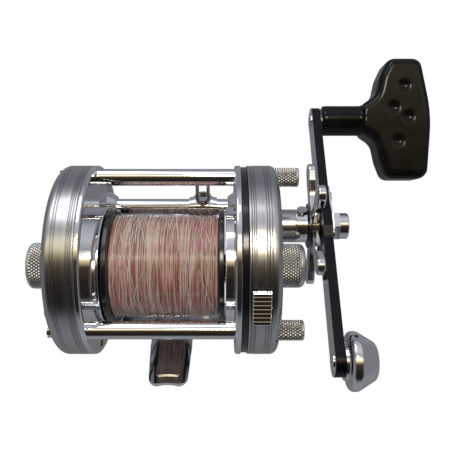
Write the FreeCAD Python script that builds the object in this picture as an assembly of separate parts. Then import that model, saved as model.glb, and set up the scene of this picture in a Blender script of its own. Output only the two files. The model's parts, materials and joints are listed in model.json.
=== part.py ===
import FreeCAD, Part
import math
import os

# Round level-wind reel. Millimetres. X runs along the spool axis to the handle
# side, Y is the way the line leaves, Z is up. Everything is drawn about the
# spool axis. On export it moves so that the round plates are centred on Y = 0
# and Z = 0 is the foot's underside. The spool sits a little behind and below
# the middle of the plates, which makes room for the gears.

# ---- overall sizes ----
plate_height = 34.0         # middle of the plates above the underside of the foot
offset_y, offset_z = 1.7, 1.7   # middle of the plates from the spool axis
plate_radius = 33.0
frame_inside = 46.9         # between the rims of the two frame plates
left_cover_depth = 10.8
right_cover_depth = 10.9
seal_depth = 2.1            # black ring between frame and right cover
crank_reach = 49.3          # drive shaft to knob
foot_length = 59.0
foot_width = 16.2

# ---- frame ----
rim_depth = 2.05            # rim of the right plate along X
left_rim_depth = 1.75
rim_wall = 2.0
web_recess = 0.95           # web face behind the rim edge
collar_radius = 20.9
collar_wall = 1.3
collar_end_gap = 0.3        # collar to spool flange
pillar_radius = 2.9
pillar_circle = 29.2
tenon_radius = 1.9
rear_angle = -10.0          # pillars, degrees above the rear horizontal
top_angle = 115.0
front_angle = 235.0

# ---- covers ----
cover_wall = 1.6
cover_corner = 2.6
cover_dome = 0.8
groove_depth = 0.28
groove_half = 0.22
neck_radius = 5.2
neck_length = 4.6
post_radius = 2.7

# ---- spool ----
flange_radius = 20.0
flange_thickness = 2.0
spool_outside = 40.2
arbor_radius = 9.0
line_radius = 17.8
shaft_radius = 1.5
shaft_half = 44.6
running_gap = 0.05
body_gap = 0.3

# ---- gears ----
gear_module = 0.55
main_teeth = 48
pinion_teeth = 12
wind_module = 0.6
wind_drive_teeth = 24
worm_teeth = 14
backlash = 0.12
drive_angle = 159.2         # drive shaft, degrees above the rear horizontal
drive_radius = 2.6

# ---- level wind ----
worm_angle = 170.0
tube_radius = 3.2
tube_wall = 0.7
worm_radius = 2.2
guide_x = 11.8
guide_half = 5.2
guide_top = 15.0            # above the tube's axis
slot_half = 1.1

# ---- handle side ----
boss_radius = 6.1
boss_end = 45.8
arm_x = 55.5
arm_thickness = 3.4
arm_width = 9.8
arm_eye_radius = 5.2
arm_angle = 23.4            # knob end above the forward horizontal
star_x = 52.9
star_reach = 22.7
star_arms = 5
star_phase = 39.0
stem_radius = 6.1
grip_length = 48.7
grip_thickness = 15.0
grip_tilt = 52.0            # long axis of the grip above the forward horizontal
weight_reach = 50.4
weight_radius = 9.7

# ---- knobs, button, screws ----
knob_radius = 8.2
cap_radius = 7.9
knob_length = 12.0
cap_length = 9.4
thumb_radius = 3.35
thumb_length = 6.8
thumb_shank = 1.5
spot_depth = 2.2            # spot face under each thumb screw
button_angle = 15.0
button_width = 11.4
button_x0 = 28.5
button_x1 = 34.3
button_rise = 1.4
button_travel = 1.8
ribs = 8
click_radius = 21.6
click_travel = 4.0

V = FreeCAD.Vector
os.makedirs("parts", exist_ok=True)

plate_at = (offset_y, offset_z)
axis_height = plate_height - offset_z
centre_distance = gear_module * (main_teeth + pinion_teeth) / 2
wind_distance = wind_module * (wind_drive_teeth + worm_teeth) / 2
plate_x = frame_inside / 2
web_x = plate_x + web_recess
right_back = plate_x + rim_depth
left_back = -(plate_x + left_rim_depth)
seal_end = right_back + seal_depth
right_face = seal_end + right_cover_depth
left_face = left_back - left_cover_depth
flange_out = spool_outside / 2
flange_in = flange_out - flange_thickness
hole_radius = collar_radius - collar_wall
cover_inside = plate_radius - cover_wall


def polar(angle, radius, centre=plate_at):
    """(y, z) at an angle above the rear horizontal."""
    a = math.radians(angle)
    return centre[0] - radius * math.cos(a), centre[1] + radius * math.sin(a)


drive_y, drive_z = polar(drive_angle, centre_distance, (0, 0))
worm_z = polar(worm_angle, 25.6)[1]
worm_y = drive_y + math.sqrt(wind_distance ** 2 - (worm_z - drive_z) ** 2)
arm_dir = V(0, math.cos(math.radians(arm_angle)), math.sin(math.radians(arm_angle)))
drive_axis = V(0, drive_y, drive_z)
knob_axis = drive_axis + arm_dir * crank_reach
weight_axis = drive_axis - arm_dir * weight_reach
saved = []


# ---- small kit ----
def save(name, *solids):
    shape = solids[0] if len(solids) == 1 else Part.makeCompound(list(solids))
    shape = shape.copy()
    shape.translate(V(0, -offset_y, axis_height))
    shape.exportStep("parts/" + name + ".step")
    good = shape.isValid() and all(s.isClosed() for s in shape.Shells)
    saved.append(name)
    print(name, len(shape.Solids), round(shape.Volume, 1), "" if good else "NOT CLOSED", flush=True)


def cyl(radius, x0, x1, at=(0, 0)):
    return Part.makeCylinder(radius, abs(x1 - x0), V(min(x0, x1), at[0], at[1]), V(1, 0, 0))


def tube(outer, inner, x0, x1, at=(0, 0)):
    return cyl(outer, x0, x1, at).cut(cyl(inner, x0, x1, at))


def rod(radius, start, end):
    step = end - start
    return Part.makeCylinder(radius, step.Length, start, step)


def box(x0, x1, y0, y1, z0, z1):
    return Part.makeBox(x1 - x0, y1 - y0, z1 - z0, V(x0, y0, z0))


def outline(points, place):
    """Closed wire through flat points; a third number rounds that corner."""
    corners = []
    for i, point in enumerate(points):
        here = place(point[0], point[1])
        radius = point[2] if len(point) > 2 else 0
        if not radius:
            corners.append((here, None, here))
            continue
        before = place(*points[i - 1][:2]) - here
        after = place(*points[(i + 1) % len(points)][:2]) - here
        before.normalize()
        after.normalize()
        half = before.getAngle(after) / 2
        middle = before + after
        middle.normalize()
        reach = radius / math.tan(half)
        corners.append((here + before * reach, here + middle * (radius / math.sin(half) - radius),
                        here + after * reach))
    edges = []
    for i, (start, middle, end) in enumerate(corners):
        if middle is not None:
            edges.append(Part.Arc(start, middle, end).toShape())
        following = corners[(i + 1) % len(corners)][0]
        if end.distanceToPoint(following) > 1e-6:
            edges.append(Part.makeLine(end, following))
    return Part.Wire(edges)


def turned(points, at=(0, 0)):
    """Solid of revolution about a line along X; points are (x, radius[, round])."""
    face = Part.Face(outline(points, lambda a, b: V(a, b + at[0], at[1])))
    return face.revolve(V(0, at[0], at[1]), V(1, 0, 0), 360)


def along_x(points, x0, x1):
    face = Part.Face(outline(points, lambda a, b: V(x0, a, b)))
    return face.extrude(V(x1 - x0, 0, 0))


def toothed(teeth, module, x0, x1, at, phase):
    """Spur gear blank with involute flanks; one tooth points along phase (radians)."""
    pressure = math.radians(25)
    pitch = teeth * module / 2
    base, tip, root = pitch * math.cos(pressure), pitch + 0.9 * module, pitch - 1.2 * module
    half = math.pi / (2 * teeth) - backlash / (4 * pitch)
    low = max(base, root)
    points = []
    for i in range(teeth):
        centre = phase + 2 * math.pi * i / teeth
        flank = []
        for k in range(5):
            r = low + (tip - low) * k / 4
            a = math.acos(min(1.0, base / r))
            flank.append((r, half + math.tan(pressure) - pressure - math.tan(a) + a))
        if root < low:
            flank.insert(0, (root, flank[0][1]))
        path = [(r, centre - a) for r, a in flank] + [(r, centre + a) for r, a in reversed(flank)]
        points += [(at[0] + r * math.cos(a), at[1] + r * math.sin(a)) for r, a in path]
    return along_x(points, x0, x1)


def folds(radius, wall, x0, x1, turns, at=(0, 0)):
    """Spring drawn as a folded sleeve along X."""
    steps = [(x0 + (x1 - x0) * i / (2 * turns), radius + (0.3 if i % 2 else -0.3))
             for i in range(2 * turns + 1)]
    return turned([(x, r + wall) for x, r in steps] + [(x, r) for x, r in reversed(steps)], at)


def knurled(radius, x0, x1, teeth, depth, ends):
    """Straight-knurled drum; each end keeps a plain chamfered edge."""
    points = []
    for i in range(2 * teeth):
        a = math.pi * i / teeth
        r = radius - (depth if i % 2 else 0)
        points.append((r * math.cos(a), r * math.sin(a)))
    low, high = sorted((x0, x1))
    core = radius - depth - 0.15
    lathe = turned([(low, 0), (low, core, ends), (high, core, ends), (high, 0)])
    return lathe.fuse(along_x(points, low + ends, high - ends))


def toward(angle, solid, centre=plate_at):
    """Turns a solid drawn on the rear horizontal up to an angle about a centre."""
    solid.rotate(V(0, 0, 0), V(1, 0, 0), -angle)
    solid.translate(V(0, *centre))
    return solid


def under(*solids):
    """Moves solids drawn below the middle of the plates into place."""
    for solid in solids:
        solid.translate(V(0, *plate_at))
    return solids


# ---- frame ----
bridge_screw_angles = (45.0, 200.0, 290.0)


def frame_plate(side, back):
    s = side
    collar_end = flange_out + collar_end_gap
    plate = turned([(s * back, 0), (s * back, plate_radius, 0.4), (s * plate_x, plate_radius, 0.8),
                    (s * plate_x, plate_radius - rim_wall, 0.3),
                    (s * web_x, plate_radius - rim_wall - 0.2), (s * web_x, 0)], plate_at)
    collar = turned([(s * (back - 0.4), 0), (s * (back - 0.4), collar_radius),
                     (s * collar_end, collar_radius, 0.3), (s * collar_end, 0)])
    cone = turned([(s * (back - 0.5), 0), (s * (back - 0.5), 6.4), (s * web_x, 6.4),
                   (s * (web_x - 3.2), tube_radius + 1.0, 0.5), (s * (web_x - 3.2), 0)],
                  (worm_y, worm_z))
    cone = cone.common(cyl(plate_radius - 1, -back, back, plate_at))
    plate = plate.fuse([collar, cone]).cut(cyl(hole_radius, -back, back))
    notch = box(*sorted((s * (flange_out - 1), s * (web_x - 0.8))), -collar_radius - 2, -17, -2.6, 2.6)
    plate = plate.cut(toward(150 if s < 0 else 135, notch, (0, 0)))
    for angle in (rear_angle, top_angle, front_angle):
        plate = plate.cut(cyl(tenon_radius, s * plate_x, s * back, polar(angle, pillar_circle)))
        plate = plate.cut(cyl(pillar_radius, s * (plate_x - 1), s * web_x, polar(angle, pillar_circle)))
    plate = plate.cut(cyl(tube_radius, s * (web_x - 4), s * back, (worm_y, worm_z)))
    for y in (-4.0, 4.0):
        plate = plate.cut(cyl(1.0, s * plate_x, s * back, (y + offset_y, -26.6 + offset_z)))
    for angle in bridge_screw_angles if s > 0 else ():
        plate = plate.cut(cyl(1.0, s * plate_x, s * back, polar(angle, 26.0)))
    return plate.removeSplitter()


save("left_frame_plate", frame_plate(-1, -left_back))
save("right_frame_plate", frame_plate(1, right_back))

pillars = []
for angle in (rear_angle, top_angle, front_angle):
    at = polar(angle, pillar_circle)
    pillar = cyl(pillar_radius, -web_x, web_x, at)
    pillar = pillar.fuse(cyl(tenon_radius, left_back, right_back, at)).removeSplitter()
    pillar = pillar.cut(cyl(thumb_shank + running_gap, right_back - 5, right_back, at))
    pillars.append(pillar.cut(cyl(1.3, left_back, left_back + 5, at)))
save("frame_pillars", *pillars)

bar_top, bar_low = -28.4, -30.4
tab = 1.2
bar = box(-web_x, web_x, -5.8, 5.8, bar_low, bar_top)
for s in (-1, 1):
    bar = bar.fuse(box(*sorted((s * (web_x - 0.02), s * (web_x - tab))), -5.8, 5.8, bar_low, -24.2))
bar = bar.common(cyl(plate_radius - rim_wall - 0.4, -web_x, web_x))
rivet_spots = [(x, y) for x in (-5.0, 5.0) for y in (-3.4, 3.4)]
for x, y in rivet_spots:
    bar = bar.cut(Part.makeCylinder(1.1, 9, V(x, y, -34)))
for y in (-4.0, 4.0):
    bar = bar.cut(cyl(1.0, -web_x, web_x, (y, -26.6)))
save("foot_support_bar", *under(bar.removeSplitter()))

tongue = foot_width / 2
half_foot = foot_length / 2


def foot_wire(inset, z):
    w, n = tongue - inset, tongue - 1.3 - inset
    ends = half_foot - inset
    points = [(-n, -ends, 4.0), (n, -ends, 4.0), (w, -7, 6), (w, 7, 6), (n, ends, 4.0),
              (-n, ends, 4.0), (-w, 7, 6), (-w, -7, 6)]
    return outline(points, lambda a, b: V(a, b, z))


foot = Part.Face(foot_wire(0, -plate_height)).extrude(V(0, 0, 2.4))
crown = Part.makeCylinder(14.0, foot_length + 2, V(0, -half_foot - 1, -plate_height - 11.6), V(0, 1, 0))
foot = foot.common(crown)
for s in (-1, 1):
    hollow = Part.makeCylinder(9.0, half_foot - 9, V(0, s * 10, -plate_height - 7.9), V(0, s, 0))
    foot = foot.cut(hollow)
    y0, y1 = s * 13.0, s * (half_foot - 3.2)
    panel = outline([(-3.6, y0, 0.8), (3.6, y0, 0.8), (4.6, y1, 1.4), (-4.6, y1, 1.4)],
                    lambda a, b: V(a, b, -plate_height + 1.0))
    raised = Part.Face(panel).extrude(V(0, 0, 2.0)).common(
        Part.makeCylinder(14.6, foot_length, V(0, -half_foot, -plate_height - 11.6), V(0, 1, 0)))
    foot = foot.fuse(raised)
pad = box(-tongue, tongue, -6.4, 6.4, -plate_height, bar_low)
pad = pad.makeFillet(1.0, [e for e in pad.Edges if abs(e.CenterOfMass.z + 32.2) < 0.2])
foot = foot.fuse(pad)
for x, y in rivet_spots:
    foot = foot.cut(Part.makeCylinder(1.1, 9, V(x, y, -35)))
save("reel_foot", *under(foot.removeSplitter()))

rivets = []
for x, y in rivet_spots:
    shank = Part.makeCylinder(1.1, bar_top + plate_height - 0.4, V(x, y, -plate_height + 0.4))
    head = Part.makeCylinder(1.8, 0.7, V(x, y, bar_top))
    rivets.append(shank.fuse(head).removeSplitter())
for s, back in ((-1, -left_back), (1, right_back)):
    for y in (-4.0, 4.0):
        shank = cyl(1.0, s * (web_x - tab), s * (back - 0.1), (y, -26.6))
        rivets.append(shank.fuse(cyl(1.7, s * (web_x - tab - 0.7), s * (web_x - tab),
                                     (y, -26.6))).removeSplitter())
save("foot_rivets", *under(*rivets))


# ---- covers ----
def grooved(face_x, back_x, near, far):
    """Outer skin of a cover: straight wall with turned grooves, round corner, low dome."""
    s = 1 if face_x > back_x else -1
    points = [(back_x, plate_radius, 0.3)]
    for g in near + far:
        x = back_x + s * g
        points += [(x - s * groove_half, plate_radius), (x, plate_radius - groove_depth),
                   (x + s * groove_half, plate_radius)]
    points += [(face_x - s * cover_dome, plate_radius, cover_corner), (face_x, 12.0, 20.0)]
    return points


def cover(face_x, back_x, near, far):
    s = 1 if face_x > back_x else -1
    skin = grooved(face_x, back_x, near, far)
    inner = [(face_x - s * cover_wall, 0), (face_x - s * cover_wall, 12.0),
             (face_x - s * (cover_dome + cover_wall), cover_inside, cover_corner - 1),
             (back_x, cover_inside)]
    shell = turned(skin + [(face_x, 0)] + inner, plate_at)
    neck = cyl(neck_radius, face_x - s * cover_wall, face_x + s * neck_length)
    posts = [cyl(post_radius, back_x, face_x - s * 1.2, polar(angle, pillar_circle))
             for angle in (rear_angle, top_angle, front_angle)]
    shell = shell.fuse([neck] + posts)
    return shell.cut(cyl(3.6, face_x - s * 3.5, face_x + s * (neck_length + 1)))


left = cover(left_face, left_back, [0.8, 1.5, 2.1], [6.0, 6.8])
hub_in = -29.4
left = left.fuse(tube(5.6, 4.0, hub_in, left_face + 1))
left_posts = [polar(a, pillar_circle) for a in (rear_angle, top_angle, front_angle)]
screws = []
for at in left_posts:
    left = left.cut(cyl(1.3, left_face, left_back, at))
    left = left.cut(cyl(2.5, left_face - 1, left_face + 1.4, at))
    screw = cyl(1.3, left_face + 1.4, left_back + 4.5, at)
    head = cyl(2.4, left_face - 0.3, left_face + 1.4, at)
    slot = box(left_face - 1, left_face + 0.4, at[0] - 3, at[0] + 3, at[1] - 0.35, at[1] + 0.35)
    screws.append(screw.fuse(head).cut(slot).removeSplitter())
click_y = -click_radius
left = left.cut(box(left_face - 1, left_face + 4, click_y - 1.3, click_y + click_travel + 1.3, -1.5, 1.5))
save("left_side_cover", left.removeSplitter())
save("left_cover_screws", *screws)

right = cover(right_face, seal_end, [0.8, 1.5, 2.1], [5.3, 6.1, 6.9])
right = right.fuse(cyl(boss_radius, right_face - cover_wall, boss_end, (drive_y, drive_z)))
right = right.cut(cyl(drive_radius + 1.6, right_face - 4, boss_end + 1, (drive_y, drive_z)))
for angle in (rear_angle, top_angle):
    at = polar(angle, pillar_circle)
    right = right.cut(cyl(thumb_radius + 0.4, right_face - spot_depth, right_face + 1, at))
    right = right.cut(cyl(thumb_shank + running_gap, seal_end - 1, right_face + 1, at))
at = polar(front_angle, pillar_circle)
right = right.cut(cyl(1.3, seal_end - 1, right_face - 3, at))
window = box(button_x0 - body_gap, button_x1 + body_gap, -plate_radius - 2, -plate_radius + 4,
             -button_width / 2 - body_gap, button_width / 2 + body_gap)
right = right.cut(toward(button_angle, window))
save("right_side_cover", right)

seal = turned([(right_back, 31.3), (right_back, plate_radius - 0.5, 0.3),
               (seal_end, plate_radius - 0.5, 0.3), (seal_end, 31.3)], plate_at)
save("frame_seal_ring", seal)

# ---- gear bridge ----
bridge_x0, bridge_x1 = right_back, right_back + 1.4
bearing_x0 = 23.9
bridge = cyl(30.9, bridge_x0, bridge_x1, plate_at)
for angle in (rear_angle, top_angle, front_angle):
    bridge = bridge.cut(cyl(post_radius + 0.3, bridge_x0 - 1, bridge_x1 + 1, polar(angle, pillar_circle)))
bridge = bridge.fuse(cyl(5.8, bearing_x0 - 0.4, bridge_x1 + 0.3))
bridge = bridge.cut(cyl(4.5, bearing_x0 - 1, bearing_x0 + 3.0))
bridge = bridge.cut(cyl(3.2, bearing_x0, bridge_x1 + 1))
bridge = bridge.cut(cyl(1.8 + running_gap, bridge_x0 - 1, bridge_x1 + 1, (drive_y, drive_z)))
bridge = bridge.cut(cyl(worm_radius + 0.9, bridge_x0 - 1, bridge_x1 + 1, (worm_y, worm_z)))
bridge_screw_at = [polar(a, 26.0) for a in bridge_screw_angles]
for at in bridge_screw_at:
    bridge = bridge.cut(cyl(1.0, bridge_x0 - 1, bridge_x1 + 1, at))
perp = V(0, -drive_z, drive_y)
perp.normalize()
post_at = [(perp.y * s * 6.2, perp.z * s * 6.2) for s in (-1, 1)]
for at in post_at:
    bridge = bridge.cut(cyl(0.9, bridge_x0 - 1, bridge_x1 + 1, at))
dog_at = (drive_y - 3.0, drive_z - 9.6)
bridge = bridge.cut(cyl(1.0, bridge_x0 - 1, bridge_x1 + 1, dog_at))
save("gear_bridge_plate", bridge.removeSplitter())
save("bridge_screws", *[cyl(1.0, bridge_x0 - 0.6, bridge_x1, at).fuse(
    cyl(1.9, bridge_x1, bridge_x1 + 0.9, at)).cut(
    box(bridge_x1 + 0.4, bridge_x1 + 2, at[0] - 3, at[0] + 3, at[1] - 0.3, at[1] + 0.3)).removeSplitter()
    for at in bridge_screw_at])
save("brake_ring", turned([(20.9, 8.7), (20.9, 9.9, 0.2), (bridge_x0 - 0.9, 9.9),
                           (bridge_x0 - 0.9, 11.4), (bridge_x0, 11.4), (bridge_x0, 8.7)]))


def bearing(outer, x0):
    """Two rings and eight balls, running on the spool shaft."""
    race = outer - 1.25
    return [tube(outer, race, x0, x0 + 3.0), tube(2.3, shaft_radius + running_gap, x0, x0 + 3.0),
            *[Part.makeSphere(0.4, V(x0 + 1.5, *polar(45 * i, (race + 2.3) / 2, (0, 0)))) for i in range(8)]]


save("spool_bearings", *bearing(4.0, hub_in - 3.2), *bearing(4.5, bearing_x0))
post_end = 35.4
save("bridge_posts", *[cyl(0.9, bridge_x0, post_end, at).fuse(
    cyl(1.6, post_end - 0.6, post_end, at)).removeSplitter() for at in post_at],
    cyl(1.0, bridge_x0, 31.1, dog_at).fuse(cyl(1.7, 31.0, 31.3, dog_at)).removeSplitter())
save("worm_bushings", tube(tube_radius - tube_wall, 1.2 + running_gap, left_back, left_back + 2.0,
                           (worm_y, worm_z)),
     tube(tube_radius - tube_wall, 1.2 + running_gap, right_back - 2.0, right_back, (worm_y, worm_z)))

# ---- level wind ----
wind = (worm_y, worm_z)
guide_tube = tube(tube_radius, tube_radius - tube_wall, left_back, right_back, wind)
guide_tube = guide_tube.cut(box(-20.4, 20.4, worm_y - slot_half, worm_y + slot_half, worm_z - 4, worm_z))
save("levelwind_tube", guide_tube)

gear_x0, gear_x1 = 27.6, 29.4
worm = cyl(worm_radius, -19.4, 19.4, wind).fuse(cyl(1.2, left_back + 0.4, gear_x1 + 0.4, wind))
helix = Part.makeHelix(5.2, 36.4, worm_radius)
cutter = Part.Wire([Part.makeCircle(0.42, V(worm_radius, 0, 0), V(0, 1, 0))])
groove = Part.Wire(helix.Edges).makePipeShell([cutter], True, True)
groove.rotate(V(0, 0, 0), V(0, 1, 0), 90)
groove.translate(V(-18.2, worm_y, worm_z))
worm = worm.cut(groove)
worm = worm.cut(box(gear_x0, gear_x1 + 1, worm_y + 0.9, worm_y + 2, worm_z - 2, worm_z + 2))
save("worm_shaft", worm.removeSplitter())
to_worm = math.atan2(worm_z - drive_z, worm_y - drive_y)
gear = toothed(worm_teeth, wind_module, gear_x0, gear_x1, wind, to_worm + math.pi + math.pi / worm_teeth)
flat = cyl(1.2, gear_x0, gear_x1, wind).cut(
    box(gear_x0 - 1, gear_x1 + 1, worm_y + 0.9, worm_y + 2, worm_z - 2, worm_z + 2))
save("worm_gear", gear.cut(flat))

ring = tube_radius + running_gap
cup_z = worm_z + 5.2
g0, g1 = guide_x - guide_half, guide_x + guide_half
guide = cyl(4.3, g0 + 1.4, g1 - 1.4, wind).fuse(cyl(3.9, g0, g1, wind))
guide = guide.fuse(Part.makeCylinder(3.2, cup_z - worm_z, V(guide_x, worm_y, worm_z)))
guide = guide.fuse(Part.makeCylinder(2.6, 7.2, V(guide_x, worm_y, worm_z - 7.2)))
guide = guide.cut(Part.makeCylinder(2.3, 1.4, V(guide_x, worm_y, cup_z - 1.0)))
eye = outline([(guide_x - 2.65, cup_z - 1.6), (guide_x - 2.65, worm_z + guide_top, 2.6),
               (guide_x + 2.65, worm_z + guide_top, 2.6), (guide_x + 2.65, cup_z - 1.6)],
              lambda a, b: V(a, worm_y - 1.0, b))
gap = outline([(guide_x - 1.45, cup_z - 3), (guide_x - 1.45, worm_z + guide_top - 1.2, 1.4),
               (guide_x + 1.45, worm_z + guide_top - 1.2, 1.4), (guide_x + 1.45, cup_z - 3)],
              lambda a, b: V(a, worm_y - 1.5, b))
fork = Part.Face(eye).extrude(V(0, 2.0, 0)).cut(Part.Face(gap).extrude(V(0, 3.0, 0)))
guide = guide.fuse(fork).cut(cyl(ring, g0 - 1, g1 + 1, wind))
guide = guide.cut(Part.makeCylinder(1.1, 9, V(guide_x, worm_y, worm_z - 8)))
save("line_guide", guide.removeSplitter())
pawl = Part.makeCylinder(1.05, 3.6, V(guide_x, worm_y, worm_z - 7.1))
blade = box(guide_x - 0.35, guide_x + 0.35, worm_y - 0.8, worm_y + 0.8, worm_z - 4, worm_z - 2.45)
save("guide_pawl", pawl.fuse(blade).removeSplitter())
save("pawl_cap", Part.makeCylinder(2.9, 1.1, V(guide_x, worm_y, worm_z - 8.3)))

# ---- spool ----
spool = turned([(-flange_out, 0), (-flange_out, flange_radius, 0.5), (-flange_in, flange_radius, 0.5),
                (-flange_in + 0.3, arbor_radius), (flange_in - 0.3, arbor_radius),
                (flange_in, flange_radius, 0.5), (flange_out, flange_radius, 0.5), (flange_out, 0)])
hub_l, hub_r = -28.6, 21.2
spool = spool.fuse(cyl(4.0, hub_l, hub_r))
for s in (-1, 1):
    spool = spool.cut(turned([(s * (flange_out + 1), 5.5), (s * (flange_out + 1), 17.6),
                              (s * (flange_out - 0.9), 17.6, 0.4), (s * (flange_out - 0.9), 5.5, 0.4)]))
spool = spool.cut(cyl(arbor_radius - 1.6, -flange_in + 1, flange_in - 1).cut(
    cyl(3.2, -flange_in, flange_in)))
spool = spool.cut(cyl(shaft_radius, hub_l - 1, hub_r + 1))
save("spool", spool.removeSplitter())
wind_in = flange_in - 0.12
line = turned([(0.22 - wind_in, arbor_radius), (-wind_in, line_radius - 0.2, 0.3),
               (0, line_radius + 0.25, 60), (wind_in, line_radius - 0.2, 0.3),
               (wind_in - 0.22, arbor_radius)])
save("line_winding", line)
pin_x = 28.4
shaft = cyl(shaft_radius, -shaft_half, shaft_half)
save("spool_shaft", turned([(-shaft_half, 0), (-shaft_half, shaft_radius, 0.5),
                            (shaft_half, shaft_radius, 0.5), (shaft_half, 0)]).cut(
    rod(0.45, V(pin_x, 0, -3), V(pin_x, 0, 3))))
save("spool_drive_pin", rod(0.45, V(pin_x, 0, -2.2), V(pin_x, 0, 2.2)))
wheel = []
for i in range(48):
    a = math.pi * i / 24
    r = 7.0 if i % 2 else 6.0
    wheel.append((r * math.cos(a), r * math.sin(a)))
save("click_wheel", along_x(wheel, -28.2, -26.8).cut(cyl(4.0, -29, -26)))
carrier = tube(5.6, shaft_radius, hub_r, 22.6)
pins, blocks = [], []
for s in (-1, 1):
    carrier = carrier.fuse(rod(0.7, V(21.9, 0, s * 4.5), V(21.9, 0, s * 8.0)))
    block = rod(1.5, V(22.0, 0, s * 6.0), V(22.0, 0, s * 7.6))
    blocks.append(block.cut(rod(0.75, V(21.9, 0, s * 5), V(21.9, 0, s * 9))))
save("brake_carrier", carrier.removeSplitter())
save("brake_blocks", *blocks)

# ---- pinion and clutch ----
groove_x = 29.3
to_pinion = math.atan2(-drive_z, -drive_y)
teeth_x0, teeth_x1, tail_end = 30.8, 35.2, 40.4
pinion = toothed(pinion_teeth, gear_module, teeth_x0, teeth_x1, (0, 0),
                 to_pinion + math.pi + math.pi / pinion_teeth)
pinion = pinion.fuse(cyl(2.2, teeth_x1, tail_end)).fuse(cyl(2.9, 27.7, groove_x))
pinion = pinion.fuse(cyl(2.1, groove_x, teeth_x0))
pinion = pinion.cut(cyl(shaft_radius + running_gap, 27, tail_end + 1))
pinion = pinion.cut(box(27, pin_x + 0.8, -0.6, 0.6, -3.2, 3.2))
save("pinion", pinion.removeSplitter())
angle = math.degrees(math.atan2(perp.z, perp.y))
yoke = box(groove_x + 0.3, groove_x + 0.9, -7.8, 7.8, -2.9, 2.9)
yoke = yoke.makeFillet(2.4, [e for e in yoke.Edges if e.Length < 0.7])
yoke = yoke.fuse(box(groove_x + 0.3, groove_x + 0.9, -2.0, 2.0, 2.0, 8.2))
yoke = yoke.cut(cyl(2.3, groove_x, groove_x + 2))
yoke = yoke.cut(box(groove_x, groove_x + 2, -2.3, 2.3, -4, 0))
for s in (-1, 1):
    yoke = yoke.cut(cyl(0.95, groove_x, groove_x + 2, (s * 6.2, 0)))
yoke.rotate(V(0, 0, 0), V(1, 0, 0), angle)
save("clutch_yoke", yoke.removeSplitter())
save("yoke_springs", *[folds(1.35, 0.25, groove_x + 0.9, post_end - 2.4, 5, at) for at in post_at])

# ---- push button ----
low, high = 31.2, plate_radius + button_rise
block = box(button_x0, button_x1, -high, -low, -button_width / 2, button_width / 2)
block = block.makeFillet(0.5, [e for e in block.Edges if abs(e.CenterOfMass.y + high) < 0.01])
for i in range(ribs):
    z = button_width * ((i + 0.5) / ribs - 0.5) + button_width / ribs / 2
    if i < ribs - 1:
        block = block.cut(box(button_x0 - 1, button_x1 + 1, -high - 1, -high + 0.7, z - 0.28, z + 0.28))
skirt = box(button_x0, button_x1, -low, -29.2, -3.0, 3.0)
save("push_button", toward(button_angle, block.fuse(skirt).removeSplitter()))
wedge = Part.Face(outline([(28.0, -29.2), (29.2, -29.2), (29.2, -10.0), (28.3, -8.6), (28.0, -8.6)],
                          lambda a, b: V(a, b, -2.0))).extrude(V(0, 0, 4.0))
wedge = wedge.fuse(box(28.0, 33.8, -29.2, -28.0, -3.0, 3.0))
save("clutch_slide", toward(button_angle, wedge.removeSplitter()))

# ---- crank shaft stack ----
drive = (drive_y, drive_z)
shaft = turned([(bridge_x0 + 0.2, 0), (bridge_x0 + 0.2, 1.8), (bridge_x1 + 0.3, 1.8),
                (bridge_x1 + 0.3, drive_radius), (arm_x, drive_radius), (arm_x, 2.1),
                (64.0, 2.1), (64.0, 0)], drive)
save("drive_shaft", shaft)
wind_gear = toothed(wind_drive_teeth, wind_module, gear_x0, gear_x1, drive, to_worm)
save("levelwind_drive_gear", wind_gear.cut(cyl(drive_radius, 27, 30, drive)))
ratchet = []
for i in range(10):
    a = 2 * math.pi * i / 10
    ratchet += [(drive_y + 5.6 * math.cos(a), drive_z + 5.6 * math.sin(a)),
                (drive_y + 4.5 * math.cos(a + 0.06), drive_z + 4.5 * math.sin(a + 0.06))]
save("ratchet_wheel", along_x(ratchet, 29.8, 30.8).cut(cyl(drive_radius, 29, 32, drive)))
main_x0, main_x1 = 31.6, 34.2
main = toothed(main_teeth, gear_module, main_x0, main_x1, drive, to_pinion)
for i in range(5):
    a = 2 * math.pi * i / 5
    main = main.cut(cyl(1.7, 31, 35, (drive_y + 7.6 * math.cos(a), drive_z + 7.6 * math.sin(a))))
save("main_gear", main.cut(cyl(drive_radius, 31, 35, drive)))
save("drag_washers", *[tube(5.4, drive_radius, x, x + 0.45, drive) for x in (30.95, 34.3, 34.95, 35.6)])
ring_x = boss_end + 0.2
collar = turned([(ring_x - 3.0, drive_radius + running_gap), (ring_x - 3.0, drive_radius + 1.6),
                 (ring_x - 0.2, drive_radius + 1.6), (ring_x - 0.2, boss_radius, 0.3),
                 (50.3, boss_radius, 0.3), (50.3, drive_radius + running_gap)], drive)
save("shaft_bushing", collar.cut(Part.makeCylinder(1.0, 9, V(48.2, drive_y, drive_z + 3.6))))
oil = Part.makeCylinder(1.0, 2.6, V(48.2, drive_y, drive_z + 4.0)).fuse(
    Part.makeCylinder(1.9, 1.5, V(48.2, drive_y, drive_z + boss_radius)))
save("oil_cap", oil.removeSplitter())

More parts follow.
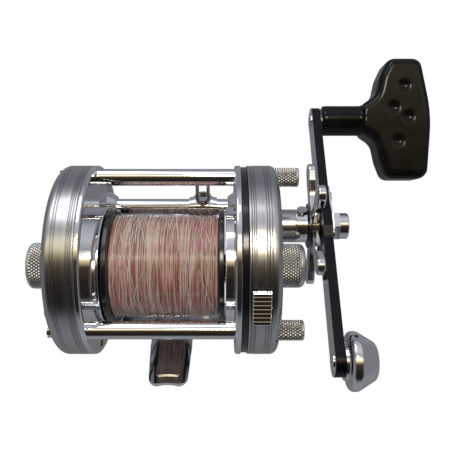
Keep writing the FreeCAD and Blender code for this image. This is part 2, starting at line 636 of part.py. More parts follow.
star = turned([(51.5, drive_radius + running_gap), (51.5, 6.0, 0.4), (54.6, 6.0, 0.6),
               (54.6, drive_radius + running_gap)], drive)
arm_profile = [(4.0, -2.6), (12.0, -1.7, 8), (17.0, -3.2, 3.0), (star_reach + 1.3, -3.4, 3.3),
               (star_reach + 1.3, 3.4, 3.3), (17.0, 3.2, 3.0), (12.0, 1.7, 8), (4.0, 2.6)]
for i in range(star_arms):
    wire = outline(arm_profile, lambda a, b: V(star_x - 1.5, drive_y + a, drive_z + b))
    arm = Part.Face(wire).extrude(V(2.9, 0, 0))
    arm = arm.makeFillet(0.7, [e for e in arm.Edges if e.CenterOfMass.y > drive_y + 17.5
                               and e.Length > 1.5 and abs(e.CenterOfMass.x - star_x) > 1.2])
    arm.rotate(drive_axis, V(1, 0, 0), star_phase + 360.0 / star_arms * i)
    star = star.fuse(arm)
star = star.cut(cyl(drive_radius + running_gap, 50, 56, drive))
save("star_drag_wheel", star.removeSplitter())
save("star_washers", tube(8.2, drive_radius, 50.6, 51.2, drive),
     *[turned([(x, drive_radius), (x + 0.15, 7.2), (x + 0.4, 7.2), (x + 0.25, drive_radius)], drive)
       for x in (54.7, 55.05)])

arm_out = arm_x + arm_thickness


def on_crank(solid):
    """Places a solid drawn along +Y from the origin onto the crank."""
    solid.rotate(V(0, 0, 0), V(1, 0, 0), arm_angle)
    solid.translate(drive_axis)
    return solid


half_arm = arm_width / 2
bar = along_x([(-weight_reach, -half_arm), (-7.0, -half_arm, 8), (-3, -6.4, 3), (3, -6.4, 3),
               (7.0, -half_arm, 8), (crank_reach, -half_arm), (crank_reach, half_arm),
               (7.0, half_arm, 8), (3, 6.4, 3), (-3, 6.4, 3), (-7.0, half_arm, 8),
               (-weight_reach, half_arm)], arm_x, arm_out)
for y in (crank_reach, -weight_reach):
    bar = bar.fuse(cyl(arm_eye_radius, arm_x, arm_out, (y, 0)))
bar = bar.cut(cyl(2.1, arm_x - 1, arm_out + 1))
for y in (crank_reach, -weight_reach):
    bar = bar.cut(cyl(2.0, arm_x - 1, arm_out + 1, (y, 0)))
bar = bar.cut(cyl(0.9, arm_x, arm_out + 1, (12.5, 0)))
save("handle_arm", on_crank(bar.removeSplitter()))
plate = along_x([(-6.2, -4.0, 2.5), (10.0, -4.0, 2.0), (16.6, -2.4, 2.0), (16.6, 2.4, 2.0),
                 (10.0, 4.0, 2.0), (-6.2, 4.0, 2.5)], arm_out, arm_out + 0.9)
plate = plate.cut(cyl(2.1, arm_out - 1, arm_out + 2)).cut(cyl(0.9, arm_out - 1, arm_out + 2, (12.5, 0)))
save("nut_lock_plate", on_crank(plate))
screw = cyl(0.9, arm_x + 0.4, arm_out + 0.9, (12.5, 0)).fuse(
    cyl(1.8, arm_out + 0.9, arm_out + 1.8, (12.5, 0)))
screw = screw.cut(box(arm_out + 1.4, arm_out + 3, 10, 15, -0.25, 0.25))
lock_screw = on_crank(screw.removeSplitter())
nut_x = arm_out + 0.9
hexagon = [(5.6 * math.cos(math.pi * i / 3), 5.6 * math.sin(math.pi * i / 3)) for i in range(6)]
nut = along_x(hexagon, nut_x, nut_x + 2.2).fuse(
    turned([(nut_x, 0), (nut_x, 4.8), (65.4, 4.8, 0.6), (65.4, 0)]))
nut = nut.cut(cyl(2.1, nut_x - 1, 64.0))
save("handle_nut", on_crank(nut.removeSplitter()))
spindle = turned([(arm_x - 0.5, 0), (arm_x - 0.5, 3.0, 0.3), (arm_x, 3.0), (arm_x, 2.0),
                  (arm_out, 2.0), (arm_out, 3.4), (arm_out + 0.5, 3.4), (arm_out + 0.5, 1.9),
                  (94.0, 1.9), (94.0, 0)], (crank_reach, 0))
save("knob_spindle", on_crank(spindle))
w0 = arm_out
weight = turned([(w0, 0), (w0, 6.2), (w0 + 0.8, 6.4), (w0 + 1.6, weight_radius, 1.6),
                 (w0 + 4.2, weight_radius, 2.5), (w0 + 10.5, 5.9, 2.2), (w0 + 11.0, 0)],
                (-weight_reach, 0))
weight = weight.cut(cyl(2.0, w0 - 1, w0 + 6.5, (-weight_reach, 0)))
save("counterweight", on_crank(weight))
stud = turned([(arm_x - 0.5, 0), (arm_x - 0.5, 3.0, 0.3), (arm_x, 3.0), (arm_x, 2.0),
               (w0 + 6.4, 2.0), (w0 + 6.4, 0)], (-weight_reach, 0))
save("crank_screws", lock_screw, on_crank(stud))

# ---- knob ----
stem_x, grip_x0, grip_x1 = arm_out + 0.9, 82.0, 103.6
half_grip = grip_length / 2
side = outline([(grip_x0 - 6, stem_radius), (grip_x0 - 1, 9.5, 6), (grip_x0 + 0.6, 17, 8),
                (grip_x0 + 4.0, half_grip, 4), (grip_x1 - 4.6, half_grip, 4), (grip_x1, 2.0, 60),
                (grip_x1 - 1.8, -half_grip, 4.5), (grip_x0 + 3.4, -half_grip, 4),
                (grip_x0 + 0.6, -17, 8), (grip_x0 - 1, -9.5, 6), (grip_x0 - 6, -stem_radius)],
               lambda a, b: V(a, b, -grip_thickness / 2))
grip = Part.Face(side).extrude(V(0, 0, grip_thickness))
grip = grip.makeFillet(3.0, [e for e in grip.Edges
                             if abs(abs(e.CenterOfMass.z) - grip_thickness / 2) < 0.01
                             and e.CenterOfMass.x > grip_x0])
stem = turned([(stem_x, 0), (stem_x, stem_radius, 0.8), (grip_x0 + 8, stem_radius), (grip_x0 + 8, 0)])
grip = grip.fuse(stem).cut(cyl(1.9 + running_gap, stem_x - 1, 94.3))
for x, y in ((88.5, 12.9), (84.4, 4.2), (90.2, 0.5), (86.2, -9.2)):
    grip = grip.cut(Part.makeSphere(4.2, V(x + 3.5, y, grip_thickness / 2 + 3.4)))
grip.rotate(V(0, 0, 0), V(1, 0, 0), grip_tilt)
grip.translate(knob_axis)
save("t_knob", grip.removeSplitter())

# ---- axis knobs ----
cap_x0 = right_face + body_gap
cap_x1 = cap_x0 + cap_length
cap = knurled(cap_radius, cap_x0, cap_x1, 48, 0.35, 1.0)
cap = cap.cut(cyl(neck_radius + body_gap, cap_x0 - 1, right_face + neck_length + 0.6))
cap = cap.cut(cyl(2.2, cap_x0, shaft_half + 0.7))
save("cast_control_cap", cap)
save("pinion_bushing", tube(3.6, 2.2 + running_gap, right_face - 0.6, right_face + 2.2))
knob_x0 = left_face - body_gap
knob_x1 = knob_x0 - knob_length
knob = knurled(knob_radius, knob_x1, knob_x0, 52, 0.35, 1.1)
knob = knob.cut(cyl(neck_radius + body_gap, knob_x0 + 1, left_face - neck_length - 0.6))
knob = knob.cut(cyl(2.2, knob_x0, -shaft_half - 0.7))
save("spool_tension_knob", knob)
save("tension_shims", tube(2.15, 0.6, shaft_half + 0.35, shaft_half + 0.65),
     tube(2.15, 0.6, -shaft_half - 0.65, -shaft_half - 0.35))

for name, angle in (("thumb_screw_top", top_angle), ("thumb_screw_rear", rear_angle)):
    at = polar(angle, pillar_circle)
    seat = right_face - spot_depth + 0.1
    head = knurled(thumb_radius, seat, seat + thumb_length + spot_depth, 22, 0.3, 0.6)
    screw = head.fuse(cyl(thumb_shank, right_back - 4.4, right_face + 1))
    screw.translate(V(0, at[0], at[1]))
    save(name, screw.removeSplitter())

# ---- click ----
button = turned([(left_face - 2.0, 0), (left_face - 2.0, 2.6, 0.9), (left_face - 0.3, 2.9),
                 (left_face - 0.3, 0)], (click_y, 0))
button = button.fuse(box(left_face - 0.5, left_face + 2.2, click_y - 1.0, click_y + 1.0, -1.2, 1.2))
save("click_button", button.removeSplitter())
lever = box(left_face + 2.2, left_face + 3.0, click_y - 1.0, click_y + 7.0, -2.2, 2.2)
lever = lever.fuse(box(left_face + 2.2, -26.9, click_y + 6.2, click_y + 7.0, -1.4, 1.4))
tip = Part.Face(outline([(click_y + 7.0, -1.4), (-11.6, -0.5), (-11.6, 0.5), (click_y + 7.0, 1.4)],
                        lambda a, b: V(-28.1, a, b))).extrude(V(1.2, 0, 0))
save("click_pawl", lever.fuse(tip).removeSplitter())

# ---- anti-reverse dog ----
dog = cyl(2.0, 29.8, 30.8, dog_at).fuse(
    along_x([(dog_at[0] - 0.2, dog_at[1] - 1.4), (dog_at[0] + 6.0, dog_at[1] + 1.6),
             (dog_at[0] + 5.6, dog_at[1] + 2.8), (dog_at[0] - 0.4, dog_at[1] + 1.6)], 29.8, 30.8))
save("anti_reverse_dog", dog.cut(cyl(1.0 + running_gap, 29, 32, dog_at)).removeSplitter())
print(len(saved), "parts")
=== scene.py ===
# %% [markdown]
# # A round level-wind reel
# The hard parts of this reel were drawn in CAD and come in as a fixed frame of
# named nodes. This notebook dresses them: it gives every node a material and
# rebuilds the pieces whose surface is too fine for CAD, such as the diamond
# knurling, the moulded grip and the wound line. Then it lights the whole thing
# as a product display. Work through it one cell at a time.

# %% Load the frame
import json
import math

import bpy
import numpy as np
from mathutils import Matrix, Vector


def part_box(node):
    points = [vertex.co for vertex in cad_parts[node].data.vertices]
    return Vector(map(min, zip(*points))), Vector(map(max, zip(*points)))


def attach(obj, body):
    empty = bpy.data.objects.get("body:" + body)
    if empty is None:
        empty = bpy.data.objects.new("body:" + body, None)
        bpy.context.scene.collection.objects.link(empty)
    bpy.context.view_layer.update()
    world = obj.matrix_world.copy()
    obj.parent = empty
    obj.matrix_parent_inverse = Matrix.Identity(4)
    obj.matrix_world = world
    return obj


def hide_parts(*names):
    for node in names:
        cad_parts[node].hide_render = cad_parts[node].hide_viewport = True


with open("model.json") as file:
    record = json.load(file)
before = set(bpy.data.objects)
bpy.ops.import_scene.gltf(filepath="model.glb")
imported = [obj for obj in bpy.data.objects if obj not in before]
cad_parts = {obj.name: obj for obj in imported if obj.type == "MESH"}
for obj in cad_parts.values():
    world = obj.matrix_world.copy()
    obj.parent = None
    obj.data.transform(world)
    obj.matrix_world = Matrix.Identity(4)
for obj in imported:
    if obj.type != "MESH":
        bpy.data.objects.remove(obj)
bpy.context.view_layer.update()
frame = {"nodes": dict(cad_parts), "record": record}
nodes = frame["nodes"]

# %% [markdown]
# ## Where things are
# Two lines run along X: the middle of the round side plates, and the spool's
# axis a little behind and below it. We read them from the nodes' boxes instead
# of typing numbers, so the look follows the CAD if it changes.

# %% Axes
MM = 0.001


def middle(node):
    low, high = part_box(node)
    return (low + high) / 2


def span(node):
    low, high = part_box(node)
    return high - low


plate_axis = middle("right_side_cover")
spool_axis = middle("spool")
print("spool axis height", round(spool_axis.z / MM, 1), "mm")

# %% [markdown]
# ## Shader arithmetic
# A material is a little machine of nodes. Wiring maths nodes by hand is slow to
# read, so this class wraps one socket and lets us write `a * 2 + b` as we would
# for numbers. `node` adds any other node: its settings go first, then what is
# plugged into its sockets.

# %% The socket class
class Wire:
    """One shader socket that can be used like a number."""

    def __init__(self, tree, socket=None):
        self.tree, self.socket = tree, socket

    def node(self, kind, settings=None, links=None, out=0):
        made = self.tree.nodes.new(kind)
        for key, value in (settings or {}).items():
            setattr(made, key, value)
        for key, value in (links or {}).items():
            if isinstance(value, Wire):
                self.tree.links.new(value.socket, made.inputs[key])
            else:
                made.inputs[key].default_value = value
        return Wire(self.tree, made.outputs[out])

    def maths(self, operation, first, second=0.0):
        return self.node("ShaderNodeMath", {"operation": operation}, {0: first, 1: second})

    def __add__(self, other):
        return self.maths("ADD", self, other)

    __radd__ = __add__

    def __mul__(self, other):
        return self.maths("MULTIPLY", self, other)

    __rmul__ = __mul__

    def __sub__(self, other):
        return self.maths("SUBTRACT", self, other)

    def __rsub__(self, other):
        return self.maths("SUBTRACT", other, self)

    def __truediv__(self, other):
        return self.maths("DIVIDE", self, other)

    def __rtruediv__(self, other):
        return self.maths("DIVIDE", other, self)

    def __pow__(self, other):
        return self.maths("POWER", self, other)

    def split(self):
        parts = self.node("ShaderNodeSeparateXYZ", links={0: self})
        made = parts.socket.node
        return [Wire(self.tree, made.outputs[i]) for i in range(3)]

    def blend(self, low, high):
        """Colour between low and high, with this socket as the share of high."""
        return self.node("ShaderNodeMix", {"data_type": "RGBA"}, {0: self, 6: low, 7: high}, out=2)

    def ramp(self, stops):
        """Colour looked up along a list of (place, colour)."""
        made = self.node("ShaderNodeValToRGB", links={0: self})
        ramp = made.socket.node.color_ramp
        for i, (place, colour) in enumerate(stops):
            element = ramp.elements[i] if i < 2 else ramp.elements.new(place)
            element.position, element.color = place, (*colour, 1)
        return made


print("operators:", [n for n in dir(Wire) if n.startswith("__r")])

# %% [markdown]
# ## A material starter
# Every material is one Principled shader. `surface` makes it, hands back the
# object coordinates to draw patterns with, and sets plain numbers straight on
# the sockets.

# %% Material starter
made_materials = {}


def surface(name, colour, metallic=0.0, roughness=0.3, **plain):
    material = bpy.data.materials.new(name)
    material.use_nodes = True
    tree = material.node_tree
    shader = next(n for n in tree.nodes if n.type == "BSDF_PRINCIPLED")
    shader.inputs["Base Color"].default_value = (*colour, 1)
    shader.inputs["Metallic"].default_value = metallic
    shader.inputs["Roughness"].default_value = roughness
    for key, value in plain.items():
        shader.inputs[key.replace("_", " ")].default_value = value
    made_materials[name] = material
    wire = Wire(tree)
    place = wire.node("ShaderNodeTexCoord", out=3)
    return material, shader, wire, place


def plug(shader, name, wire):
    wire.tree.links.new(wire.socket, shader.inputs[name])


def bumped(shader, wire, height, strength, depth):
    bump = wire.node("ShaderNodeBump", links={"Height": height, "Strength": strength, "Distance": depth})
    plug(shader, "Normal", bump)


def noise(wire, vector, scale, detail=3.0, rough=0.5):
    return wire.node("ShaderNodeTexNoise", {"noise_dimensions": "3D"},
                     {"Vector": vector, "Scale": scale, "Detail": detail, "Roughness": rough})


def joined(wire, x, y, z):
    return wire.node("ShaderNodeCombineXYZ", links={0: x, 1: y, 2: z})


def spread(wire, value, low, high, to_low, to_high):
    return wire.node("ShaderNodeMapRange", links={0: value, 1: low, 2: high, 3: to_low, 4: to_high})


print("starter ready")

# %% [markdown]
# ## Chrome
# The frame plates, pillars, star, crank and screws are nickel-chrome plate. It
# is almost a mirror, so it owes its look to the room around it. Handling leaves
# faint smears: a soft noise lifts the roughness a little in patches.

# %% Chrome
chrome, shader, wire, place = surface("chrome_plate", (0.78, 0.79, 0.81), 1.0, 0.07)
smear = noise(wire, place, 90.0, 4.0)
plug(shader, "Roughness", spread(wire, smear, 0.35, 0.75, 0.045, 0.13))
bumped(shader, wire, noise(wire, place, 60.0, 2.0), 0.06, 0.0004)
print(chrome.name)

# %% [markdown]
# ## Turned aluminium
# The side covers were finished in a lathe: the tool leaves hair-fine rings, so
# the surface changes fast along X on the rim and fast along the radius on the
# face, but hardly at all around the circle. Noise fed with (x, radius) does
# exactly that.

# %% Turned aluminium
def turned_rings(wire, place, centre, scale):
    x, y, z = place.split()
    across = ((y - centre.y) ** 2.0 + (z - centre.z) ** 2.0) ** 0.5
    return noise(wire, joined(wire, x, across, 0.0), scale, 5.0, 0.65)


turned, shader, wire, place = surface("turned_aluminium", (0.50, 0.50, 0.51), 1.0, 0.3)
rings = turned_rings(wire, place, plate_axis, 1500.0)
plug(shader, "Base Color", spread(wire, rings, 0.3, 0.7, 0.0, 1.0).blend(
    (0.46, 0.46, 0.47, 1), (0.55, 0.55, 0.56, 1)))
plug(shader, "Roughness", spread(wire, rings, 0.3, 0.7, 0.2, 0.29))
bumped(shader, wire, rings, 0.12, 0.00006)
print(turned.name)

# %% [markdown]
# ## Inner metals
# Steel shafts, brass gears and dark spring steel sit inside. They share one
# recipe with different numbers, so a loop makes them.

# %% Steel, brass, spring steel, anodised black
for name, colour, low, high in (("ground_steel", (0.58, 0.59, 0.61), 0.16, 0.34),
                                ("machined_brass", (0.74, 0.55, 0.27), 0.18, 0.36),
                                ("dark_spring_steel", (0.10, 0.10, 0.11), 0.22, 0.40),
                                ("bright_steel", (0.70, 0.71, 0.73), 0.10, 0.20)):
    material, shader, wire, place = surface(name, colour, 1.0, low)
    plug(shader, "Roughness", spread(wire, noise(wire, place, 400.0), 0.3, 0.7, low, high))
    bumped(shader, wire, noise(wire, place, 1200.0), 0.05, 0.0001)
_, shader, wire, place = surface("black_anodised", (0.012, 0.012, 0.016), 0.25, 0.28,
                                 Coat_Weight=0.5, Coat_Roughness=0.12)
plug(shader, "Roughness", spread(wire, noise(wire, place, 500.0), 0.3, 0.7, 0.2, 0.36))
print(sorted(made_materials))

# %% [markdown]
# ## Plastics, fibre and knurl
# The ring between plate and cover is smooth black, a painted dark reflection. The
# grip is moulded in glossy black plastic with a faint orange-peel from the mould and
# a few rubbed patches. The brake blocks are dull pressed fibre. Knurling takes two
# metals: bright tips that have been handled, and grooves with painted shade.

# %% Plastics, fibre and knurl
# painted reflection: the ring is black where a concave chrome groove would mirror the dark room
surface("dark_ring_painted_reflection", (0.008, 0.008, 0.012), 0.0, 0.16)
grip_black, shader, wire, place = surface("grip_black", (0.014, 0.013, 0.012), 0.0, 0.2,
                                          Coat_Weight=0.1, Coat_Roughness=0.05, Specular_IOR_Level=0.15)
rubbed = noise(wire, place, 120.0, 5.0)
plug(shader, "Roughness", spread(wire, rubbed, 0.35, 0.7, 0.10, 0.2))
plug(shader, "Base Color", spread(wire, rubbed, 0.4, 0.8, 0.0, 1.0).blend(
    (0.004, 0.004, 0.004, 1), (0.010, 0.010, 0.009, 1)))
bumped(shader, wire, noise(wire, place, 700.0, 2.0), 0.04, 0.0001)
# painted reflection: black standing in for the dark room mirrored in the crank's edges
arm_edge_painted_reflection = surface("arm_edge_painted_reflection", (0.003, 0.003, 0.006), 0.0, 0.25, Specular_IOR_Level=0.2)[0]
# painted shade for the knurl grooves
knurl_painted_shade = surface("knurl_painted_shade", (0.045, 0.04, 0.035), 0.8, 0.4)[0]
knurl_tip = surface("knurl_tip", (0.86, 0.85, 0.82), 1.0, 0.34)[0]
surface("brake_fibre", (0.25, 0.13, 0.07), 0.0, 0.8)
print("plastics ready")

# %% [markdown]
# ## The wound line
# Clear and pink monofilament lies in hundreds of turns. Every turn catches the light
# on its own, and here the colour paints it: noise stretched right around the spool gives
# each turn a tint between white, pink and tan, partly dye and partly painted highlight and shade.

# %% Line materials
line_mat, shader, wire, place = surface("wound_line", (0.8, 0.6, 0.55), 0.0, 0.22,
                                        Coat_Weight=0.9, Coat_Roughness=0.12, IOR=1.5)
x, y, z = place.split()
turns = noise(wire, joined(wire, x, y * 0.03, z * 0.03), 2600.0, 2.0, 0.7)
patches = noise(wire, joined(wire, x, y * 0.25, z * 0.25), 330.0, 3.0, 0.6)
# painted highlight and shade: the turns and patches noise makes each turn lighter or darker
light = spread(wire, turns, 0.3, 0.7, 0.0, 1.0) * 0.6 + spread(wire, patches, 0.3, 0.7, 0.0, 1.0) * 0.4
pink = light.ramp([
    (0.0, (0.10, 0.020, 0.024)), (0.3, (0.27, 0.085, 0.085)), (0.52, (0.44, 0.19, 0.185)),
    (0.75, (0.66, 0.40, 0.37)), (1.0, (0.85, 0.74, 0.70))])
tan = light.ramp([
    (0.0, (0.10, 0.04, 0.02)), (0.4, (0.28, 0.15, 0.095)), (0.75, (0.50, 0.37, 0.30)),
    (1.0, (0.76, 0.69, 0.63))])
# pink against tan patches: partly the line's own tint, partly painted light
drift = noise(wire, joined(wire, x * 0.5, y, z), 95.0, 2.0, 0.5)
plug(shader, "Base Color", spread(wire, drift, 0.42, 0.6, 0.0, 0.9).blend(pink, tan))
strand_mat, shader, wire, place = surface("loose_strand", (0.74, 0.64, 0.60), 0.0, 0.2,
                                          Coat_Weight=0.8, Coat_Roughness=0.05)
print(line_mat.name, strand_mat.name)

# %% [markdown]
# ## Dressing the CAD nodes
# Each record slot names a finish. We hand every node the material that matches
# its slot, and shade it smooth except across real corners.

# %% Hand out materials
BY_SLOT = {"chrome": "chrome_plate", "turned_aluminium": "turned_aluminium", "steel": "ground_steel",
           "brass": "machined_brass", "black_ring": "dark_ring_painted_reflection", "black_anodised": "black_anodised",
           "black_grip": "grip_black", "spring_steel": "dark_spring_steel",
           "brake_fibre": "brake_fibre", "line": "wound_line"}
slots = {part["node"]: part["material_slot"] for part in frame["record"]["subparts"]}
for name, node in nodes.items():
    node.data.materials.clear()
    node.data.materials.append(made_materials[BY_SLOT[slots[name]]])
    node.data.shade_smooth()
    node.data.set_sharp_from_angle(angle=math.radians(28))
print("dressed", len(nodes), "nodes")

# %% [markdown]
# ## Crank with painted edge reflection
# The crank arm is polished on its flat faces; its narrow edges are painted black, a
# painted reflection of the dark room. Faces whose normal leaves X take the second material.

# %% Crank edges
arm = nodes["handle_arm"]
# edge faces get the black painted reflection
arm.data.materials.append(arm_edge_painted_reflection)
for face in arm.data.polygons:
    if abs(face.normal.x) < 0.5:
        face.material_index = 1
print("edge faces", sum(face.material_index for face in arm.data.polygons))

# %% [markdown]
# ## Mesh kit
# Two helpers build most new pieces. `sheet_mesh` turns a grid of points into a
# surface, and `drum` wraps a radius function around X; it adds no end caps.

# %% Mesh kit
def sheet_mesh(name, grid, around, material):
    """Mesh from grid[row, column, 3]; around joins the last column to the first."""
    rows, columns = grid.shape[:2]
    across = columns if around else columns - 1
    index = np.arange(rows * columns).reshape(rows, columns)
    faces = []
    for c in range(across):
        n = (c + 1) % columns
        faces.append(np.stack([index[:-1, c], index[:-1, n], index[1:, n], index[1:, c]], 1))
    mesh = bpy.data.meshes.new(name)
    mesh.from_pydata(grid.reshape(-1, 3).tolist(), [], np.concatenate(faces).tolist())
    mesh.update()
    mesh.shade_smooth()
    made = bpy.data.objects.new(name, mesh)
    bpy.context.scene.collection.objects.link(made)
    made.data.materials.append(material)
    return made


def drum(name, stations, radius_at, centre, columns, material):
    """Surface around an X line; radius_at(x, angles) gives each station's radii."""
    angles = np.linspace(0, 2 * np.pi, columns, endpoint=False)
    grid = np.zeros((len(stations), columns, 3))
    for i, x in enumerate(stations):
        r = radius_at(i, x, angles)
        grid[i] = np.stack([np.full(columns, x), centre.y + r * np.cos(angles),
                            centre.z + r * np.sin(angles)], 1)
    return sheet_mesh(name, grid, True, material)


print("mesh kit ready")

# %% [markdown]
# ## Diamond knurling
# A knurling tool rolls two opposite sets of spiral grooves into a knob, which
# leaves rows of little pyramids. We take the deeper of two slanted saw waves at
# every point of the drum. Plain rounded bands finish both ends. The deep faces in
# the valleys get a darker metal as painted shade.

# %% Knurled knobs
def saw(value):
    return np.abs(2 * (value - np.floor(value)) - 1)


GROOVE_SHARE = 0.36      # groove depth as a share of the diamonds' pitch
SHADE_BELOW = 0.72       # share of the groove depth from which a face gets painted shade
ROWS_PER_PITCH, COLUMNS_PER_DIAMOND, ROUND_STEPS = 10, 8, 7
CHAMFER = 0.25 * MM


def knurled_knob(node, body, diamonds, head, band, flip):
    """Replaces a CAD drum by one with real diamond knurling."""
    low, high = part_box(node)
    centre = middle(node)
    radius = (high.y - low.y) / 2
    x0, step = (high.x, -1) if flip else (high.x - head, 1)
    pitch = 2 * math.pi * radius / diamonds
    deep = pitch * GROOVE_SHARE
    rim = [(0.0, radius * 0.55), (0.0, radius * 0.93), (CHAMFER, radius * 0.965)]
    rows = int((head - 2 * band) / pitch * ROWS_PER_PITCH)
    stations = [x for x, _ in rim] + list(np.linspace(band * 0.6, head - band, rows))
    radii = [r for _, r in rim] + [None] * rows
    for k in range(ROUND_STEPS):
        a = math.pi / 2 * k / (ROUND_STEPS - 1)
        stations.append(head - band + band * math.sin(a))
        radii.append(radius * 0.985 - band * (1 - math.cos(a)))
    stations += [head, head - CHAMFER, head - CHAMFER]
    radii += [radii[-1] * 0.8, radii[-1] * 0.74, 0.0]

    def radius_at(i, x, angles):
        if radii[i] is not None:
            return np.full(len(angles), max(radii[i], 1e-6))
        along = stations[i] / pitch * 0.7
        turn = angles * diamonds / (2 * math.pi)
        ridge = np.minimum(saw(turn + along), saw(turn - along))
        fade = min(1.0, (head - band - stations[i]) / (0.2 * MM) + 0.1)
        return radius - deep * (1 - ridge) * fade - (1 - fade) * radius * 0.01

    made = drum(node + "_knurl", [x0 + step * s for s in stations], radius_at, centre,
                diamonds * COLUMNS_PER_DIAMOND, knurl_tip)
    if step < 0:
        made.data.flip_normals()
    # deep groove faces take the darker metal: painted shade in the valleys
    made.data.materials.append(knurl_painted_shade)
    for face in made.data.polygons:
        along = (face.center.x - x0) * step
        reach = math.hypot(face.center.y - centre.y, face.center.z - centre.z)
        if band * 0.6 < along < head - band and reach < radius - deep * SHADE_BELOW:
            face.material_index = 1
    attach(made, body)
    return made


knobs = [("spool_tension_knob", "tension_knob", 46, span("spool_tension_knob").x, 1.1 * MM, True),
         ("cast_control_cap", "cast_cap", 44, span("cast_control_cap").x, 2.0 * MM, False),
         ("thumb_screw_top", "thumb_top", 20, 9.0 * MM, 0.7 * MM, False),
         ("thumb_screw_rear", "thumb_rear", 20, 9.0 * MM, 0.7 * MM, False)]
for node, body, diamonds, head, band, flip in knobs:
    made = knurled_knob(node, body, diamonds, head, band, flip)
    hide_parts(node)
    print(made.name, len(made.data.vertices), "points")

# %% [markdown]
# ## Grip
# The grip is one moulding: a stem that swells into a bar with thumb dimples. CAD
# drew it with crisp joints. Remeshing it into small even cells and relaxing them
# melts the joints together the way a mould would.

# %% Moulded grip
grip = nodes["t_knob"].copy()
grip.data = nodes["t_knob"].data.copy()
grip.name = "grip_moulding"
bpy.context.scene.collection.objects.link(grip)
grip.parent = None
cells = grip.modifiers.new("cells", "REMESH")
cells.mode, cells.voxel_size = "VOXEL", 0.45 * MM
relax = grip.modifiers.new("relax", "SMOOTH")
relax.factor, relax.iterations = 0.5, 10
bpy.context.view_layer.update()
melted = bpy.data.meshes.new_from_object(grip.evaluated_get(bpy.context.evaluated_depsgraph_get()))
grip.modifiers.clear()
for key in list(grip.keys()):
    del grip[key]
grip.data = melted
melted.materials.clear()
melted.materials.append(grip_black)
melted.shade_smooth()
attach(grip, "grip")
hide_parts("t_knob")
print("grip", len(melted.vertices), "points")

# %% [markdown]
# ## Wound line
# The winding is a drum of half-round ridges, one per turn, none quite the same
# height. Loose turns that were wound on fast cross them at an angle, so about two
# hundred thin tubes run over the top.

# %% Line on the spool
low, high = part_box("line_winding")
outer = (high.z - low.z) / 2
rng = np.random.default_rng(7)
thread = 0.36 * MM
count = int((high.x - low.x) / thread)
stations, radii = [low.x + 0.02 * MM], [outer * 0.6]
ridge_x = np.linspace(low.x + 0.05 * MM, high.x - 0.05 * MM, count * 6 + 1)
heights = rng.uniform(0.2, 1.0, count + 1) * 0.30 * MM
phases = rng.uniform(0, 6.28, count + 1)
swell = 0.35 * MM * np.cos((ridge_x - (low.x + high.x) / 2) / (high.x - low.x) * math.pi)
stations += list(ridge_x)
stations.append(high.x - 0.02 * MM)


def line_radius(i, x, angles):
    if i == 0 or i == len(stations) - 1:
        return np.full(len(angles), outer * 0.6)
    k = min((i - 1) // 6, count - 1)
    bump = math.sin(math.pi * ((i - 1) % 6) / 6) * 0.16 * MM
    wander = 0.06 * MM * np.sin(2 * angles + phases[k])
    base = outer - 0.95 * MM + heights[k] + swell[i - 1] + wander
    return np.minimum(base + bump, outer - 0.02 * MM)


winding = drum("winding", stations, line_radius, spool_axis, 144, line_mat)
STRANDS, POINTS, SIDES = 190, 40, 6
END_ROOM, EDGE_ROOM = 0.6 * MM, 0.4 * MM
strands = []
for s in range(STRANDS):
    start = rng.uniform(low.x + END_ROOM, high.x - END_ROOM)
    slope = rng.uniform(-1, 1) ** 3 * 9 * MM
    first, sweep = rng.uniform(0, 2 * math.pi), rng.uniform(1.2, 4.2)
    a = np.linspace(first, first + sweep, POINTS)
    x = np.clip(start + slope * (a - first) / sweep * 1.6, low.x + EDGE_ROOM, high.x - EDGE_ROOM)
    fade = np.sin(np.linspace(0, math.pi, POINTS)) ** 0.4
    r = outer - 0.17 * MM - 0.55 * MM * (1 - fade)
    path = np.stack([x, spool_axis.y + r * np.cos(a), spool_axis.z + r * np.sin(a)], 1)
    out = np.stack([np.zeros(POINTS), np.cos(a), np.sin(a)], 1)
    side = np.tile([1.0, 0, 0], (POINTS, 1))
    corner = np.linspace(0, 2 * math.pi, SIDES, endpoint=False)
    width = rng.uniform(0.07, 0.13) * MM
    strands.append(path[:, None] + width * (np.cos(corner)[None, :, None] * out[:, None]
                                            + np.sin(corner)[None, :, None] * side[:, None]))
made = [sheet_mesh(f"strand{i}", grid, True, strand_mat) for i, grid in enumerate(strands)]
with bpy.context.temp_override(active_object=made[0], selected_editable_objects=made):
    bpy.ops.object.join()
made[0].name = "loose_turns"
for piece in (winding, made[0]):
    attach(piece, "spool")
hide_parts("line_winding")
print("turns", count, "loose strands", len(strands))

# %% [markdown]
# ## Studio
# Chrome shows its surroundings, so the surroundings are drawn as a sky that
# changes with the angle around X: a pale table below, a dark room behind the
# viewer, a warm lamp above it, a white ceiling and a grey wall in front. The
# white backdrop is seen by the camera only, and never by the metal.

# %% World
world = bpy.data.worlds.new("studio")
bpy.context.scene.world = world
world.use_nodes = True
tree = world.node_tree
background = next(n for n in tree.nodes if n.type == "BACKGROUND")
wire = Wire(tree)
x, y, z = wire.node("ShaderNodeTexCoord", out=0).split()
angle = wire.maths("ARCTAN2", z, y * -1.0) / (2 * math.pi) + 0.5


def at(degrees):
    return degrees / 360 + 0.5


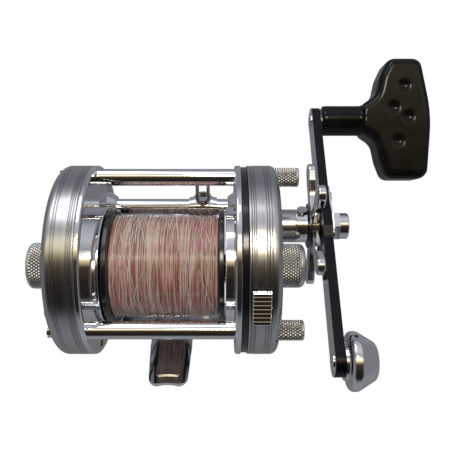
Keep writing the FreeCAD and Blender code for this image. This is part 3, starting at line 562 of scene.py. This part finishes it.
sky = angle.ramp([
    (at(-180), (0.55, 0.56, 0.60)), (at(-140), (0.30, 0.30, 0.33)), (at(-95), (0.42, 0.41, 0.41)),
    (at(-60), (0.56, 0.58, 0.62)), (at(-34), (0.42, 0.44, 0.47)), (at(-20), (0.030, 0.028, 0.028)),
    (at(14), (0.040, 0.034, 0.030)), (at(40), (0.13, 0.09, 0.055)), (at(48), (1.3, 1.02, 0.55)),
    (at(54), (2.7, 2.3, 1.5)), (at(63), (2.5, 2.35, 1.9)), (at(72), (0.8, 0.8, 0.86)),
    (at(92), (1.25, 1.25, 1.32)), (at(120), (0.95, 0.95, 1.02)), (at(140), (0.42, 0.43, 0.50)),
    (at(179), (0.50, 0.52, 0.57))])
sides = spread(wire, wire.maths("ABSOLUTE", x), 0.62, 0.92, 0.0, 1.0)
colour = sides.blend(sky, (0.42, 0.43, 0.46, 1))
tree.links.new(colour.socket, background.inputs["Color"])
background.inputs["Strength"].default_value = 0.55
print("sky built")

# %% [markdown]
# ## Backdrop and lamps
# A catalogue page is pure white. One big glowing card fills the view
# and is hidden from reflections and from the light it would spill. Two lamps
# add the crisp highlights that plastic and line need.

# %% Backdrop and lamps
ELEVATION = math.radians(38)
look = Vector((0, math.cos(ELEVATION), -math.sin(ELEVATION)))
eye = Vector((20.2 * MM, plate_axis.y - 148.6 * MM, plate_axis.z + 131.4 * MM))
card_mat = bpy.data.materials.new("white_card")
card_mat.use_nodes = True
tree = card_mat.node_tree
tree.nodes.clear()
glow = tree.nodes.new("ShaderNodeEmission")
glow.inputs["Color"].default_value = (1, 1, 1, 1)
glow.inputs["Strength"].default_value = 1.0
tree.links.new(glow.outputs[0], tree.nodes.new("ShaderNodeOutputMaterial").inputs["Surface"])
bpy.ops.mesh.primitive_plane_add(size=4.0, location=eye + look * 0.75)
card = bpy.context.object
card.name = "backdrop"
card.rotation_euler = look.to_track_quat("-Z", "Y").to_euler()
card.data.materials.append(card_mat)
for reach in ("diffuse", "glossy", "transmission", "volume_scatter", "shadow"):
    setattr(card, "visible_" + reach, False)


def lamp(name, place, power, size, colour):
    data = bpy.data.lights.new(name, "AREA")
    data.energy, data.size, data.color = power, size, colour
    made = bpy.data.objects.new(name, data)
    made.location = place
    made.rotation_euler = (spool_axis - Vector(place)).to_track_quat("-Z", "Y").to_euler()
    bpy.context.scene.collection.objects.link(made)


lamp("key", (0.05, -0.33, 0.62), 1.3, 0.16, (1.0, 0.95, 0.82))
lamp("top", (-0.15, 0.12, 0.7), 0.9, 0.35, (0.96, 0.97, 1.0))
print("backdrop and lamps placed")

# %% [markdown]
# ## Camera
# The camera looks from behind the reel and above it, level with the gap
# between handle and frame, as an angler looks at a reel on a rod.

# %% Camera
data = bpy.data.cameras.new("camera")
data.lens, data.sensor_width, data.clip_start = 44.5, 36.0, 0.01
camera = bpy.data.objects.new("camera", data)
camera.location = eye
camera.rotation_euler = look.to_track_quat("-Z", "Y").to_euler()
bpy.context.scene.collection.objects.link(camera)
bpy.context.scene.camera = camera
bpy.context.scene.view_settings.view_transform = "Standard"
print("camera at", [round(v, 3) for v in eye])
